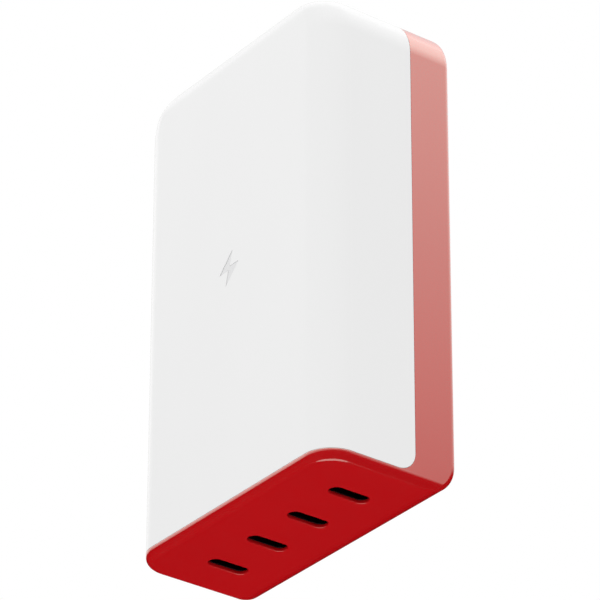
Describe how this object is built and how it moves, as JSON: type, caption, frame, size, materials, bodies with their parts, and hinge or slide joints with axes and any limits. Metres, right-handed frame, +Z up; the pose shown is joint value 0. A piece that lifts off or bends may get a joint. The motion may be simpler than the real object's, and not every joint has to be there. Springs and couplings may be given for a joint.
{
  "type": "usb-c wall charger",
  "caption": "Slim upright mains charger with a row of USB-C sockets in its lower end and a two-blade mains plug that folds into its back.",
  "frame": {"origin": "middle of the socket end, on the plane of its flat face", "axes": "+Z up through the body away from the sockets, +Y out of the back where the mains plug is, +X to the right seen from the front"},
  "size_m": [0.06, 0.0306, 0.1029],
  "materials": {
    "white_cover": "smooth white injection-moulded polycarbonate, satin gloss",
    "red_shell": "smooth signal-red injection-moulded polycarbonate, satin gloss",
    "pale_mark": "pale grey inlaid mark",
    "socket_shell": "drawn steel with black nickel plate",
    "socket_insulator": "black moulded insulator",
    "blade_metal": "nickel-plated brass",
    "spring_metal": "spring steel",
    "contact_metal": "phosphor bronze",
    "lead_insulation": "insulated wire",
    "board_laminate": "green circuit board laminate",
    "black_part": "black moulded component body",
    "ferrite": "ferrite",
    "copper_wire": "enamelled copper winding",
    "aluminium_part": "plain aluminium",
    "film_yellow": "yellow film capacitor box",
    "insulating_film": "polyester film",
    "fuse_ceramic": "ceramic fuse body"
  },
  "bodies": {
    "root": {"front_cover": "white_cover", "rear_shell": "red_shell", "front_mark": "pale_mark", "plug_well": "red_shell", "detent_spring": "spring_metal", "contact_spring_left": "contact_metal", "mains_lead_left": "lead_insulation", "contact_spring_right": "contact_metal", "mains_lead_right": "lead_insulation", "main_board": "board_laminate", "port_board": "board_laminate", "board_link": "black_part", "transformer_core": "ferrite", "transformer_bobbin": "black_part", "transformer_winding": "copper_wire", "bulk_capacitor_1": "black_part", "bulk_capacitor_2": "black_part", "bulk_capacitor_3": "black_part", "output_capacitor_1": "aluminium_part", "output_capacitor_2": "aluminium_part", "output_capacitor_3": "aluminium_part", "choke_core": "ferrite", "choke_winding_1": "copper_wire", "choke_winding_2": "copper_wire", "x_capacitor": "film_yellow", "fuse": "fuse_ceramic", "bridge_rectifier": "black_part", "switch_chip": "black_part", "control_chip": "black_part", "rectifier_chip": "black_part", "port_chip_1": "black_part", "port_chip_2": "black_part", "heat_spreader": "aluminium_part", "insulating_sheet": "insulating_film", "usb_c_shell_1": "socket_shell", "usb_c_tongue_1": "socket_insulator", "usb_c_shell_2": "socket_shell", "usb_c_tongue_2": "socket_insulator", "usb_c_shell_3": "socket_shell", "usb_c_tongue_3": "socket_insulator", "usb_c_shell_4": "socket_shell", "usb_c_tongue_4": "socket_insulator"},
    "plug": {"prong_carrier": "red_shell", "blade_left": "blade_metal", "blade_right": "blade_metal", "pivot_pin_left": "spring_metal", "pivot_pin_right": "spring_metal"}
  },
  "joints": [
    {"name": "plug_fold", "type": "hinge", "parent": "root", "child": "plug", "pos_m": [0, 0.0115, 0.079], "axis": [1, 0, 0], "range_deg": [0, 90]}
  ]
}
